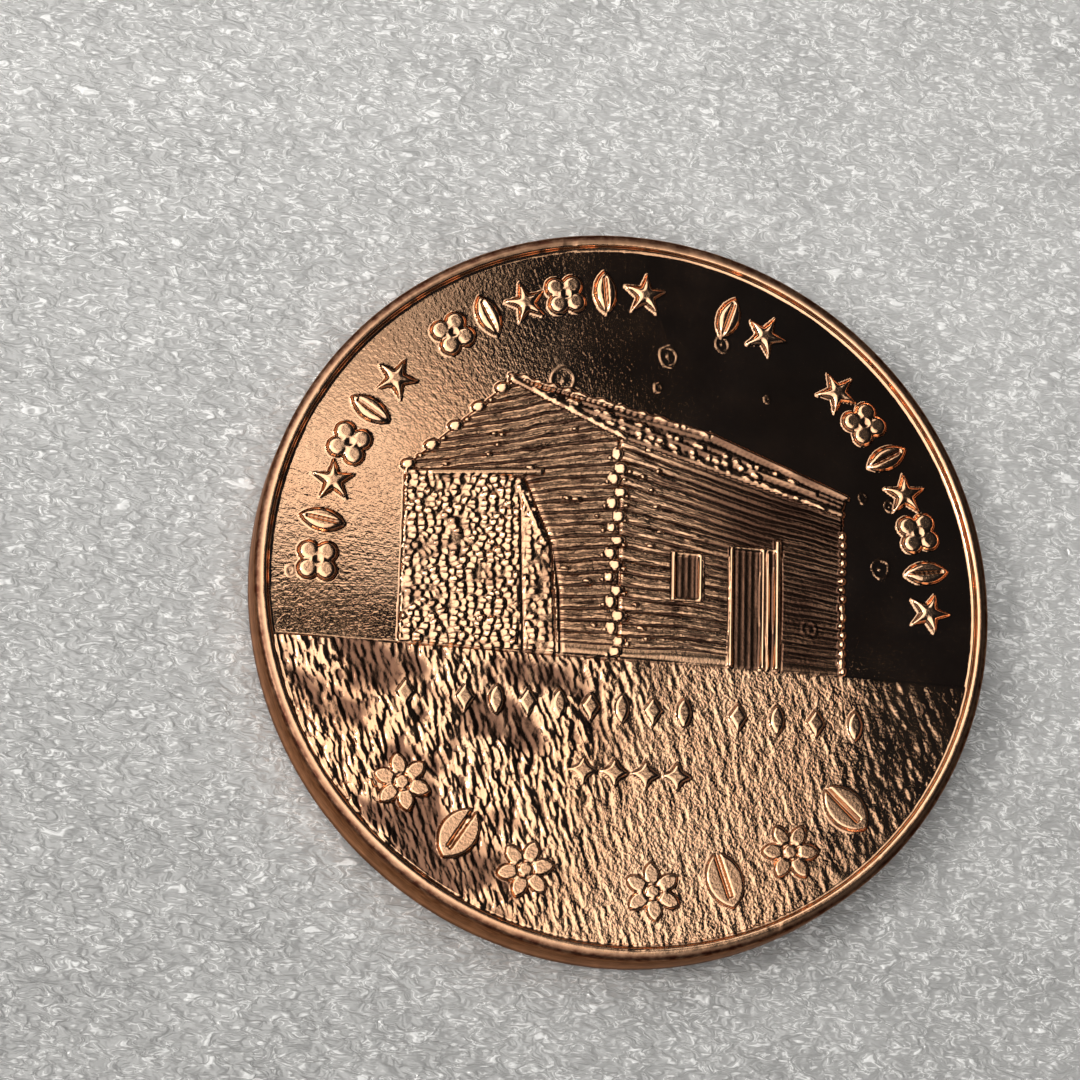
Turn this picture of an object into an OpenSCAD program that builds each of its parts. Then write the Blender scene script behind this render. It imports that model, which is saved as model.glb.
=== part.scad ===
// Struck, copper-plated coin of one-cent size, with a log cabin on its upper face.
// Millimetres, +Z up. The origin is the centre of the lower rim's plane, so the coin rests on Z = 0.
// +X runs to the right along the picture's horizon and +Y to the top of the picture.

/* [Coin] */

// Diameter over the edge
coin_diameter = 19.05; // [16:0.05:24]
// Thickness over both rims
coin_thickness = 1.52; // [1.2:0.01:2]
// Plating thickness, drawn thicker than the real 0.008 so that it can be built
plating = 0.05; // [0.02:0.005:0.07]

/* [Rim] */

// Width of the raised rim, from the edge to the foot of its inner slope
rim_width = 0.43; // [0.3:0.01:0.8]
// How far the rim stands above the field
rim_height = 0.17; // [0.1:0.01:0.25]
// Run of the rim's inner slope, as a share of the rim's width
rim_slope_share = 0.26; // [0.1:0.02:0.4]
// Rounding between the rim and the edge
edge_rounding = 0.15; // [0.08:0.01:0.2]

/* [Relief heights, as shares of the rim's height] */

// Ground below the horizon
ground_share = 0.2; // [0.1:0.05:0.3]
// Cabin walls behind the logs
wall_share = 0.4; // [0.3:0.05:0.5]
// Logs, boards and stones
log_share = 0.65; // [0.55:0.05:0.8]
// Corner stacks, door and window frames, ornaments
top_share = 0.85; // [0.8:0.05:0.95]

/* [Ornament rings, on a coin of standard diameter] */

// Radius to the middle of the upper ring's ornaments
upper_ring_radius = 7.95; // [7.6:0.05:8.1]
// Height of an upper ornament
upper_ornament = 1.2; // [0.8:0.05:1.4]
// Angle between neighbouring upper ornaments
upper_pitch = 7.75; // [6.5:0.25:8.5]
// Radius to the middle of the lower ring's ornaments
lower_ring_radius = 7.8; // [7.4:0.05:8]
// Height of a lower ornament
lower_ornament = 1.55; // [1.2:0.05:1.7]
// Angle between neighbouring lower ornaments
lower_pitch = 13.8; // [12:0.2:16]

/* [Cabin, on a coin of standard diameter] */

// Height of the horizon, measured from the coin's centre
horizon_y = -1.87; // [-2.4:0.05:-1]
// Number of log courses in each wall
courses = 18; // [10:1:24]
// Gap between two logs, as a share of their pitch
log_gap = 0.24; // [0.15:0.01:0.4]
// Number of stone rows in the chimney
stone_rows = 13; // [8:1:18]
// Number of stones in a row of the chimney's face
stones_in_row = 7; // [5:1:10]

/* [Lower face, on a coin of standard diameter] */

// Radius of the wreath's stem
wreath_radius = 6.2; // [5:0.1:7]
// Number of leaf pairs on each sprig
leaf_pairs = 8; // [5:1:10]

/* [Hidden] */

$fn = 96;

standard_diameter = 19.05;
coin_radius = coin_diameter / 2;
rim_slope = rim_width * rim_slope_share;
field_radius = coin_radius - rim_width;
upper_field_z = coin_thickness - rim_height;
// The picture is laid out for the standard diameter and follows the coin's own.
art_scale = coin_diameter / standard_diameter;
art_field_radius = field_radius / art_scale;
// Relief is rooted in the plating, clear of the core below it.
root_depth = plating / 2;

ground_height = rim_height * ground_share;
wall_height = rim_height * wall_share;
log_height = rim_height * log_share;
top_height = rim_height * top_share;

// Upper ring: the ornaments stand in four groups. Each is [middle angle, count].
upper_groups = [[160.2, 6], [107.2, 6], [67.6, 2], [23.2, 7]];
// Lower ring: two groups.
lower_groups = [[238, 3], [296.5, 4]];

// The cabin is drawn in three-quarter view. Its corners, on a coin of standard diameter:
ridge_left = [-3.15, 5.3];
ridge_bend = [2.1, 4.27];
ridge_right = [5.75, 2.9];
eave_left = [-0.28, 4.0];
eave_right = [5.65, 2.45];
near_corner_x = -0.22;
far_corner_x = 5.62;
gable_left_x = -5.85;
gable_eave_y = 2.7;
course_pitch = (eave_left[1] - horizon_y) / courses;
stack_bulge = 0.2;

// The chimney stands against the gable.
chimney_top_y = 2.68;
chimney_face_x = [-5.85, -2.95];
chimney_side_x = -1.8;
stone_gap = 0.07;

copper = [0.72, 0.42, 0.28];
zinc = [0.62, 0.64, 0.67];

// ---- Profiles, with the radius along X and the height along Y ----

// The coin's section, drawn in by inset on every side.
module coin_section(inset) {
    r = coin_radius - inset;
    top = coin_thickness - inset;
    rounding = edge_rounding - inset;
    foot = field_radius + inset;
    slope_top = foot + rim_slope;
    field_low = rim_height + inset;
    field_high = coin_thickness - rim_height - inset;

    translate([0, field_low])
        square([r - rounding, field_high - field_low]);
    translate([slope_top, inset])
        square([r - rounding - slope_top, top - inset]);
    translate([slope_top, inset + rounding])
        square([r - slope_top, top - inset - 2 * rounding]);
    for (z = [inset + rounding, top - rounding])
        translate([r - rounding, z])
            circle(rounding);
    polygon([
        [foot, field_low], [slope_top, inset],
        [slope_top, top], [foot, field_high]
    ]);
}

// ---- Flat outlines of the ornaments, each one unit high and standing up along Y ----

// A pointed leaf of the given length and width.
module leaf(length, width) {
    arc_radius = (length * length + width * width) / (4 * width);
    side_shift = arc_radius - width / 2;
    intersection() {
        translate([side_shift, 0]) circle(arc_radius);
        translate([-side_shift, 0]) circle(arc_radius);
    }
}

module star(points, outer, inner) {
    step = 180 / points;
    polygon([
        for (i = [0 : 2 * points - 1])
            let (r = i % 2 == 0 ? outer : inner, a = 90 + i * step)
            [r * cos(a), r * sin(a)]
    ]);
}

// Four round petals round a middle.
module quatrefoil(size) {
    petal = size * 0.23;
    for (a = [45, 135, 225, 315])
        rotate(a) translate([size * 0.27, 0]) circle(petal, $fn = 32);
    circle(petal, $fn = 32);
}

module rosette(petals, size) {
    for (i = [0 : petals - 1])
        rotate(i * 360 / petals)
            translate([0, size * 0.28])
                leaf(size * 0.46, size * 0.31);
    circle(size * 0.15, $fn = 32);
}

// A leaf split by its midrib.
module veined_leaf(length, width) {
    vein = width * 0.12;
    difference() {
        leaf(length, width);
        translate([-vein / 2, -length * 0.5])
            square([vein, length * 0.8]);
    }
}

module upper_ornament_outline(kind) {
    if (kind == 0) star(5, upper_ornament * 0.5, upper_ornament * 0.21);
    if (kind == 1) veined_leaf(upper_ornament, upper_ornament * 0.5);
    if (kind == 2) quatrefoil(upper_ornament);
}

module lower_ornament_outline(kind) {
    if (kind == 0) rosette(6, lower_ornament);
    if (kind == 1) veined_leaf(lower_ornament, lower_ornament * 0.66);
}

// ---- The picture on the upper face, as flat outlines ----

// A copy of the children at each place of one ring group, with its top pointing outwards.
module in_ring(radius, middle, count, pitch, i) {
    angle = middle + (i - (count - 1) / 2) * pitch;
    rotate(angle - 90) translate([0, radius]) children();
}

module upper_ring_outline() {
    for (g = upper_groups, i = [0 : g[1] - 1])
        in_ring(upper_ring_radius, g[0], g[1], upper_pitch, i)
            upper_ornament_outline(i % 3);
}

module lower_ring_outline() {
    for (g = lower_groups, i = [0 : g[1] - 1])
        in_ring(lower_ring_radius, g[0], g[1], lower_pitch, i)
            lower_ornament_outline(i % 2);
}

// Two rows of small pieces on the ground: a row of lozenges and leaves, and a shorter row under it.
module small_rows_outline() {
    row_y = -3.15;
    row_starts = [-5.6, -4.1, 2.9];
    row_counts = [1, 8, 4];
    row_pitches = [1, 0.8, 1.02];
    for (k = [0 : 2], i = [0 : row_counts[k] - 1])
        translate([row_starts[k] + i * row_pitches[k], row_y])
            if (i % 2 == 0) star(2, 0.39, 0.24);
            else leaf(0.78, 0.36);
    for (i = [0 : 3])
        translate([-1.05 + i * 0.8, -4.8])
            star(4, 0.38, 0.17);
}

module ground_outline() {
    intersection() {
        circle(art_field_radius);
        translate([-art_field_radius, -2 * art_field_radius + horizon_y])
            square(2 * art_field_radius);
    }
}

module gable_outline() {
    polygon([
        ridge_left, [gable_left_x, gable_eave_y],
        [gable_left_x, horizon_y], [near_corner_x, horizon_y], eave_left
    ]);
}

module front_outline() {
    polygon([
        eave_left, [near_corner_x, horizon_y],
        [far_corner_x, horizon_y], eave_right
    ]);
}

module roof_outline() {
    polygon([ridge_left, eave_left, eave_right, ridge_right, ridge_bend]);
}

// Height on the wall's far end of a course that is at near_y on the near corner.
function course_far_y(near_y, near_top, far_top) =
    horizon_y + (near_y - horizon_y) * (far_top - horizon_y) / (near_top - horizon_y);

// Log courses of one wall, fanned between its near end and its far end.
module course_outlines(near_x, far_x, near_top, far_top, count) {
    pitch = (near_top - horizon_y) / count;
    for (i = [0 : count - 1]) {
        low = horizon_y + (i + log_gap / 2) * pitch;
        high = horizon_y + (i + 1 - log_gap / 2) * pitch;
        polygon([
            [near_x, low], [near_x, high],
            [far_x, course_far_y(high, near_top, far_top)],
            [far_x, course_far_y(low, near_top, far_top)]
        ]);
    }
}

// The gable's courses keep their pitch up to the ridge and are cut off along the two rakes.
module gable_logs_outline() {
    near_top = ridge_left[1];
    far_top = near_top - 1.5;
    intersection() {
        gable_outline();
        course_outlines(near_corner_x, gable_left_x, near_top, far_top,
            round((near_top - horizon_y) / course_pitch));
    }
}

window_x = [1.12, 1.95];
window_y = [-0.18, 1.02];
door_x = [2.62, 4.02];
door_top_y = 1.3;
frame_width = 0.14;

module window_opening() {
    translate([window_x[0], window_y[0]])
        square([window_x[1] - window_x[0], window_y[1] - window_y[0]]);
}

module door_opening() {
    translate([door_x[0], horizon_y])
        square([door_x[1] - door_x[0], door_top_y - horizon_y]);
}

module front_logs_outline() {
    difference() {
        course_outlines(near_corner_x, far_corner_x, eave_left[1], eave_right[1], courses);
        window_opening();
        door_opening();
    }
}

// The upright side pieces of the door and the window.
module frames_outline() {
    window_height = window_y[1] - window_y[0];
    door_height = door_top_y - horizon_y;
    for (x = [window_x[0], window_x[1] - frame_width])
        translate([x, window_y[0]]) square([frame_width, window_height]);
    for (x = [door_x[0], door_x[0] + 0.85, door_x[1] - frame_width])
        translate([x, horizon_y]) square([frame_width, door_height]);
}

// Roof poles from the ridge to the eave, five bands that close up to the right.
module roof_poles_outline() {
    bands = 5;
    gap = 0.14;
    for (i = [0 : bands - 1]) {
        low = (i + gap) / bands;
        high = (i + 1 - gap) / bands;
        polygon([
            eave_left + (ridge_left - eave_left) * low,
            eave_right + (ridge_right - eave_right) * low,
            eave_right + (ridge_right - eave_right) * high,
            ridge_bend + (eave_left - ridge_left) * 0.32 * (1 - high),
            eave_left + (ridge_left - eave_left) * high
        ]);
    }
}

// Round log ends: the near corner, the far corner and the steps up the left rake.
module log_ends_outline() {
    for (i = [0 : courses - 2])
        translate([
            near_corner_x + 0.08 * (2 * (i % 2) - 1) - stack_bulge * sin(180 * (i + 0.5) / courses),
            horizon_y + (i + 0.5) * course_pitch
        ])
            circle(course_pitch * 0.42, $fn = 24);
    far_pitch = (eave_right[1] - horizon_y) / courses;
    for (i = [0 : courses - 2])
        translate([far_corner_x, horizon_y + (i + 0.5) * far_pitch])
            circle(far_pitch * 0.42, $fn = 24);
    rake = ridge_left - [gable_left_x, gable_eave_y];
    for (i = [0 : 4])
        translate([gable_left_x, gable_eave_y] + rake * (i + 0.15) / 4.6)
            circle(0.15, $fn = 24);
}

module chimney_outline() {
    polygon([
        [chimney_face_x[0], horizon_y], [chimney_side_x, horizon_y],
        [chimney_side_x - 0.22, 1.0], [chimney_face_x[1] + 0.2, chimney_top_y],
        [chimney_face_x[0], chimney_top_y]
    ]);
}

// Stones in rows, each row shifted by half a stone, and two narrower stones on the side face.
module chimney_stones_outline() {
    row_pitch = (chimney_top_y - horizon_y) / stone_rows;
    stone_pitch = (chimney_face_x[1] - chimney_face_x[0]) / stones_in_row;
    intersection() {
        chimney_outline();
        for (row = [0 : stone_rows - 1], i = [-1 : stones_in_row + 2])
            translate([
                chimney_face_x[0] + (i + 0.5 * (row % 2)) * stone_pitch + stone_gap / 2,
                horizon_y + row * row_pitch + stone_gap / 2
            ])
                square([stone_pitch - stone_gap, row_pitch - stone_gap]);
    }
}

module mantel_outline() {
    polygon([
        [chimney_face_x[0] + 0.6, chimney_top_y], [chimney_face_x[1] + 0.75, chimney_top_y + 0.16],
        [chimney_face_x[1] + 0.75, chimney_top_y + 0.34], [chimney_face_x[0] + 0.6, chimney_top_y + 0.16]
    ]);
}

// ---- The lower face: two leaf sprigs and a star, as flat outlines ----

module sprig_outline(side) {
    first_angle = -80;
    step = 150 / leaf_pairs;
    for (i = [0 : leaf_pairs - 1]) {
        angle = first_angle + (i + 0.5) * step;
        mirror([side, 0])
            rotate(angle)
                translate([wreath_radius, 0])
                    for (lean = [-32, 32])
                        rotate(lean)
                            translate([0, 0.75])
                                veined_leaf(1.5, 0.55);
    }
}

module wreath_outline() {
    for (side = [0, 1]) sprig_outline(side);
    difference() {
        circle(wreath_radius + 0.07);
        circle(wreath_radius - 0.07);
        translate([-1.6, 0]) square([3.2, 2 * wreath_radius]);
    }
    star(5, 3.1, 1.25);
}

// ---- Solids ----

// A flat outline raised over the upper field and rooted in the plating.
module raised(height) {
    translate([0, 0, upper_field_z - root_depth])
        linear_extrude(root_depth + height)
            scale(art_scale)
                children();
}

// The same on the lower field, hanging down from it.
module raised_below(height) {
    translate([0, 0, rim_height - height])
        linear_extrude(root_depth + height)
            scale(art_scale)
                children();
}

module upper_relief() {
    raised(ground_height) ground_outline();
    raised(wall_height) {
        gable_outline();
        front_outline();
        roof_outline();
        chimney_outline();
    }
    raised(log_height) {
        difference() {
            gable_logs_outline();
            chimney_outline();
        }
        front_logs_outline();
        roof_poles_outline();
        chimney_stones_outline();
        small_rows_outline();
    }
    raised(top_height) {
        log_ends_outline();
        frames_outline();
        mantel_outline();
        upper_ring_outline();
        lower_ring_outline();
    }
}

module lower_relief() {
    raised_below(log_height) wreath_outline();
}

// The blank that the coin is struck from.
module zinc_core() {
    color(zinc)
        rotate_extrude()
            coin_section(plating);
}

// The skin that wraps the core, with the relief of both faces.
module copper_plating() {
    color(copper)
        union() {
            rotate_extrude()
                difference() {
                    coin_section(0);
                    coin_section(plating);
                }
            upper_relief();
            lower_relief();
        }
}

zinc_core();
copper_plating();
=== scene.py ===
"""Looks for the struck copper coin: one fine relief mesh for its plated skin, materials, light and camera.

Lengths are millimetres in the CAD part's frame. MM turns them into metres where they reach Blender.
"""

import math

import bpy
import numpy as np
from mathutils import Matrix, Vector


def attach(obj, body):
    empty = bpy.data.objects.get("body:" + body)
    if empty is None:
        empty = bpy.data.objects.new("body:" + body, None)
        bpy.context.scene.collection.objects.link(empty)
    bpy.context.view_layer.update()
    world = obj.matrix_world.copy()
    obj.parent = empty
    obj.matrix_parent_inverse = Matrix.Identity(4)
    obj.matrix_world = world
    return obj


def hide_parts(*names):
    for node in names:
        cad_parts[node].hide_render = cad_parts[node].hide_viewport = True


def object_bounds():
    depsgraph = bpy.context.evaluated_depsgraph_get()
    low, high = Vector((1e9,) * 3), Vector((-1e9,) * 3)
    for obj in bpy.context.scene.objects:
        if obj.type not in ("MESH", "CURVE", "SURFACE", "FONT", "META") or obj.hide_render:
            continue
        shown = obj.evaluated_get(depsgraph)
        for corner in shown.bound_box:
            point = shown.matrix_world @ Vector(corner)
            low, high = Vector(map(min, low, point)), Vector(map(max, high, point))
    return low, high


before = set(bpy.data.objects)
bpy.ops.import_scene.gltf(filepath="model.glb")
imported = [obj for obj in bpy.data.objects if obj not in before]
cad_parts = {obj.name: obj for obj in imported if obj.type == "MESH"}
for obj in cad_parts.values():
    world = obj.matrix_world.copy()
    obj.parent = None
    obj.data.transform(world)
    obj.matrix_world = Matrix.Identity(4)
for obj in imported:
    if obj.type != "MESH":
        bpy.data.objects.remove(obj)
CAD_LOW, CAD_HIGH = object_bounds()

MM = 0.001
BODY = "root"

# ---- Sizes of the coin, as in the CAD part ----

COIN_RADIUS = CAD_HIGH.x / MM
COIN_THICKNESS = CAD_HIGH.z / MM
RIM_WIDTH = 0.43
RIM_HEIGHT = 0.17
EDGE_ROUNDING = 0.15
FIELD_RADIUS = COIN_RADIUS - RIM_WIDTH
UPPER_FIELD_Z = COIN_THICKNESS - RIM_HEIGHT

# Relief heights over the field
WALL_HEIGHT = 0.068
LOG_HEIGHT = 0.112
SMALL_HEIGHT = 0.125
TOP_HEIGHT = 0.145

# ---- Shape of the rim, finer than in the CAD part ----

# The inner slope's curve: distance out from the field's edge, and height over the field
RIM_FILLET = (
    (0.02, 0.007), (0.045, 0.021), (0.07, 0.04), (0.09, 0.066),
    (0.105, 0.105), (0.12, 0.142), (0.14, 0.1555),
)
# The curve's first points, which relief may run up to
RIM_FOOT_STEPS = 3
# The rim's top bulges by RIM_CROWN and stays RIM_CLEARANCE under the CAD part's top.
RIM_CROWN = 0.014
RIM_CLEARANCE = 0.0005
# The edge wall: share of its height, and how dark it is painted there
WALL_TONES = ((0.75, 1.0), (0.5, 0.88), (0.25, 0.62))

# ---- Mesh density ----

UPPER_CELLS = 500
LOWER_CELLS = UPPER_CELLS // 2

# ---- The picture's layout, as in the CAD part ----

HORIZON_Y = -1.87
RIDGE_LEFT = (-3.15, 5.3)
RIDGE_BEND = (2.1, 4.27)
RIDGE_RIGHT = (5.75, 2.9)
EAVE_LEFT = (-0.28, 4.0)
EAVE_RIGHT = (5.65, 2.45)
NEAR_CORNER_X = -0.22
FAR_CORNER_X = 5.62
GABLE_LEFT_X = -5.85
GABLE_EAVE_Y = 2.7
COURSES = 18
COURSE_PITCH = (EAVE_LEFT[1] - HORIZON_Y) / COURSES
STACK_BULGE = 0.2
CHIMNEY_TOP_Y = 2.68
CHIMNEY_FACE_RIGHT_X = -2.95
CHIMNEY_SIDE_X = -1.8
# Left, low, right and high
WINDOW = (1.12, -0.18, 1.95, 1.02)
DOOR = (2.62, HORIZON_Y, 4.02, 1.3)

# Ornament rings: radius, an ornament's height, degrees between two, and each group's middle and count
UPPER_RING_RADIUS = 7.95
UPPER_ORNAMENT = 1.2
UPPER_PITCH = 7.75
UPPER_GROUPS = ((160.2, 6), (107.2, 6), (67.6, 2), (23.2, 7))
LOWER_RING_RADIUS = 7.8
LOWER_ORNAMENT = 1.55
LOWER_PITCH = 13.8
LOWER_GROUPS = ((238.0, 3), (296.5, 4))
# Rows on the ground. A group of the long row is its first place, count and pitch.
LONG_ROW_Y = -3.15
LONG_ROW_GROUPS = ((-5.6, 1, 1.0), (-4.1, 8, 0.8), (2.9, 4, 1.02))
SHORT_ROW_Y = -4.8
SHORT_ROW_X = [-1.05 + i * 0.8 for i in range(4)]
WREATH_RADIUS = 6.2
LEAF_PAIRS = 8


# ---- Noise that is the same on each run ----


def lattice(ix, iy, seed):
    """A number from -1 to 1 for each whole-number grid point, from large odd factors that mix its bits."""
    h = (ix.astype(np.int64) * 374761393 + iy.astype(np.int64) * 668265263 + seed * 974634777) & 0xFFFFFFFF
    h = ((h ^ (h >> 13)) * 1274126177) & 0xFFFFFFFF
    h = (h ^ (h >> 16)) & 0xFFFFFF
    return h / float(0xFFFFFF) * 2.0 - 1.0


def own_number(cell_value, seed, row=0):
    """Another number from -1 to 1 for each cell, from the cell's own number."""
    return lattice(np.round(cell_value * 999), np.full_like(cell_value, row), seed)


def noise(x, y, seed):
    """Smooth noise from -1 to 1 with features one unit across."""
    x0 = np.floor(x)
    y0 = np.floor(y)
    fx = x - x0
    fy = y - y0
    fx = fx * fx * fx * (fx * (fx * 6 - 15) + 10)
    fy = fy * fy * fy * (fy * (fy * 6 - 15) + 10)
    a = lattice(x0, y0, seed)
    b = lattice(x0 + 1, y0, seed)
    c = lattice(x0, y0 + 1, seed)
    d = lattice(x0 + 1, y0 + 1, seed)
    return (a * (1 - fx) + b * fx) * (1 - fy) + (c * (1 - fx) + d * fx) * fy


def layered_noise(x, y, seed, octaves=3):
    """Noise with finer noise added to it."""
    total = np.zeros_like(x)
    weight = 1.0
    weights = 0.0
    for k in range(octaves):
        total += noise(x * 2**k + 17.3 * k, y * 2**k - 9.1 * k, seed + k) * weight
        weights += weight
        weight *= 0.5
    return total / weights


def cells(x, y, jitter, seed):
    """(gap, own, dx, dy): distance in from the cell's border, the cell's own number, and the place in it."""
    x0 = np.floor(x)
    y0 = np.floor(y)
    first = np.full(x.shape, 9.0)
    second = np.full(x.shape, 9.0)
    own = np.zeros(x.shape)
    dx = np.zeros(x.shape)
    dy = np.zeros(x.shape)
    for i in (-1, 0, 1):
        for j in (-1, 0, 1):
            cx, cy = x0 + i, y0 + j
            px = x - (cx + 0.5 + 0.5 * jitter * lattice(cx, cy, seed))
            py = y - (cy + 0.5 + 0.5 * jitter * lattice(cx, cy, seed + 1))
            away = np.hypot(px, py)
            nearer = away < first
            second = np.where(nearer, first, np.minimum(second, away))
            own = np.where(nearer, lattice(cx, cy, seed + 2), own)
            dx = np.where(nearer, px, dx)
            dy = np.where(nearer, py, dy)
            first = np.where(nearer, away, first)
    return second - first, own, dx, dy


def smooth(low, high, value):
    """Smooth step from 0 at low to 1 at high."""
    t = np.clip((value - low) / (high - low), 0.0, 1.0)
    return t * t * (3 - 2 * t)


def turned(x, y, degrees):
    """The same points in axes turned by degrees."""
    cos, sin = math.cos(math.radians(degrees)), math.sin(math.radians(degrees))
    return x * cos + y * sin, y * cos - x * sin


# ---- Signed distances in the plane, positive inside ----


def disc_distance(x, y, radius):
    """A disc."""
    return radius - np.hypot(x, y)


def leaf_distance(x, y, length, width):
    """A pointed leaf that stands along y."""
    arc = (length * length + width * width) / (4 * width)
    shift = arc - width / 2
    return np.minimum(arc - np.hypot(x - shift, y), arc - np.hypot(x + shift, y))


def box_distance(x, y, half_width, half_height):
    """A rectangle. Past its corners the distance is too small, which its bevels don't show."""
    return np.minimum(half_width - np.abs(x), half_height - np.abs(y))


def polygon_distance(x, y, corners):
    """Signed distance to any simple polygon."""
    nearest = np.full(x.shape, np.inf)
    inside = np.zeros(x.shape, bool)
    for (ax, ay), (bx, by) in zip(corners, corners[1:] + corners[:1]):
        ex, ey = bx - ax, by - ay
        t = np.clip(((x - ax) * ex + (y - ay) * ey) / (ex * ex + ey * ey), 0, 1)
        nearest = np.minimum(nearest, np.hypot(x - ax - t * ex, y - ay - t * ey))
        crosses = (ay > y) != (by > y)
        edge_x = ax + (y - ay) * ex / (ey if abs(ey) > 1e-9 else 1e-9)
        inside ^= crosses & (x < edge_x)
    return np.where(inside, nearest, -nearest)


def star_distance(x, y, points, outer, inner):
    """A star with one arm along +Y."""
    corners = []
    for i in range(2 * points):
        r = outer if i % 2 == 0 else inner
        a = math.radians(90 + i * 180 / points)
        corners.append((r * math.cos(a), r * math.sin(a)))
    return polygon_distance(x, y, corners)


def quatrefoil_distance(x, y, size):
    """Four round petals on the diagonals round a disc."""
    petal = size * 0.23
    best = disc_distance(x, y, petal)
    for a in (45, 135, 225, 315):
        cx = size * 0.27 * math.cos(math.radians(a))
        cy = size * 0.27 * math.sin(math.radians(a))
        best = np.maximum(best, disc_distance(x - cx, y - cy, petal))
    return best


def rosette_distance(x, y, petals, size):
    """Pointed petals round a small disc."""
    best = disc_distance(x, y, size * 0.15)
    for i in range(petals):
        px, py = turned(x, y, i * 360 / petals)
        best = np.maximum(best, leaf_distance(px, py - size * 0.28, size * 0.46, size * 0.31))
    return best


def line_distance(x, y, a, b):
    """How far a point is from the stretch of line between a and b."""
    ex, ey = b[0] - a[0], b[1] - a[1]
    t = np.clip(((x - a[0]) * ex + (y - a[1]) * ey) / (ex * ex + ey * ey), 0, 1)
    return np.hypot(x - a[0] - t * ex, y - a[1] - t * ey)


# ---- Cross-sections of raised work ----


def rounded(distance, height, bevel):
    """A top that rounds over within bevel of its outline."""
    t = np.clip(distance / bevel, 0, 1)
    return height * np.sqrt(1 - (1 - t) ** 2)


def flat_topped(distance, height, bevel):
    """A flat top with steep straight sides."""
    return height * smooth(0.0, bevel, distance)


# A log wall's course number rises by one from each dark gap to the next; a half is a log's crest.
NO_COURSE = 0.5
# A stamp marks the points that it raises by more than this.
STAMPED = 0.01


class Relief:
    """Heights over one face's field, raised piece by piece."""

    def __init__(self, x, y):
        self.x = x
        self.y = y
        self.height = np.zeros_like(x)
        self.polish = np.ones_like(x)
        self.grain = np.zeros_like(x)
        # Real marks, such as lifted rings, specks and a scratch, and painted shade on the walls, roof,
        # openings, chimney joints and ground
        self.tarnish = np.zeros_like(x)
        self.course = np.full_like(x, NO_COURSE)

    def stamp(self, centre, reach, shape, angle=0.0, polish=0.3, grain=0.1, tarnish=0.0):
        """Raises the face to shape(x, y) round centre, in axes turned by angle degrees."""
        dx = self.x - centre[0]
        dy = self.y - centre[1]
        near = np.flatnonzero((np.abs(dx) < reach) & (np.abs(dy) < reach))
        made = shape(*turned(dx[near], dy[near], angle))
        self.height[near] = np.maximum(self.height[near], made)
        stamped = near[made > STAMPED]
        self.polish[stamped] = polish
        self.grain[stamped] = grain
        self.tarnish[stamped] = tarnish
        self.course[stamped] = NO_COURSE

    def lay(self, distance, made, polish, grain=0.5, tarnish=0.0, course=NO_COURSE):
        """Raises the face to made where distance is inside."""
        raised = np.maximum(self.height, made)
        self.put(distance > 0, height=raised, polish=polish, grain=grain, tarnish=tarnish, course=course)

    def put(self, where, **values):
        """Replaces heights or marks wherever a condition holds."""
        for name, value in values.items():
            setattr(self, name, np.where(where, value, getattr(self, name)))


# ---- The upper face ----


def ring_places(radius, groups, pitch):
    """(place in its group, centre, turn) of every ornament in a ring."""
    for middle, count in groups:
        for i in range(count):
            angle = middle + (i - (count - 1) / 2) * pitch
            a = math.radians(angle)
            yield i, (radius * math.cos(a), radius * math.sin(a)), angle - 90


def veined(x, y, length, width, height, bevel):
    """A leaf with a midrib cut into it."""
    body = rounded(leaf_distance(x, y, length, width), height, bevel)
    rib = np.clip(1 - np.abs(x) / (width * 0.11), 0, 1) * (y < length * 0.34)
    return body - rib * 0.6 * np.minimum(body, height)


def upper_ornament(kind):
    """The shape of a star (0), a leaf (1) or a quatrefoil (2)."""
    size = UPPER_ORNAMENT

    def star(x, y):
        return rounded(star_distance(x, y, 5, size * 0.5, size * 0.21), TOP_HEIGHT, 0.16)

    def leaf(x, y):
        return veined(x, y, size, size * 0.5, TOP_HEIGHT, 0.16)

    def quatrefoil(x, y):
        made = rounded(quatrefoil_distance(x, y, size), TOP_HEIGHT, 0.14)
        eye = np.clip(1 - np.hypot(x, y) / 0.13, 0, 1)
        return made - eye * 0.06

    return (star, leaf, quatrefoil)[kind]


def lower_ornament(kind):
    """The shape of a rosette (0) or a leaf (1)."""
    size = LOWER_ORNAMENT

    def rosette(x, y):
        made = flat_topped(rosette_distance(x, y, 6, size), TOP_HEIGHT, 0.07)
        ring = np.clip(1 - np.abs(np.hypot(x, y) - size * 0.13) / 0.05, 0, 1)
        return made - ring * 0.05 * (made > 0)

    def leaf(x, y):
        body = flat_topped(leaf_distance(x, y, size, size * 0.66), TOP_HEIGHT, 0.07)
        rib = np.clip(1.6 - np.abs(x) / 0.05, 0, 1) * (y < size * 0.3)
        return body * (1 - 0.75 * rib)

    return (rosette, leaf)[kind]


def add_rings(relief):
    """The ornaments round the upper edge and on the ground."""
    for i, centre, turn in ring_places(UPPER_RING_RADIUS, UPPER_GROUPS, UPPER_PITCH):
        relief.stamp(centre, 0.9, upper_ornament(i % 3), turn)
    for i, centre, turn in ring_places(LOWER_RING_RADIUS, LOWER_GROUPS, LOWER_PITCH):
        relief.stamp(centre, 1.2, lower_ornament(i % 2), turn, polish=0.0, grain=0.2)


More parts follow.
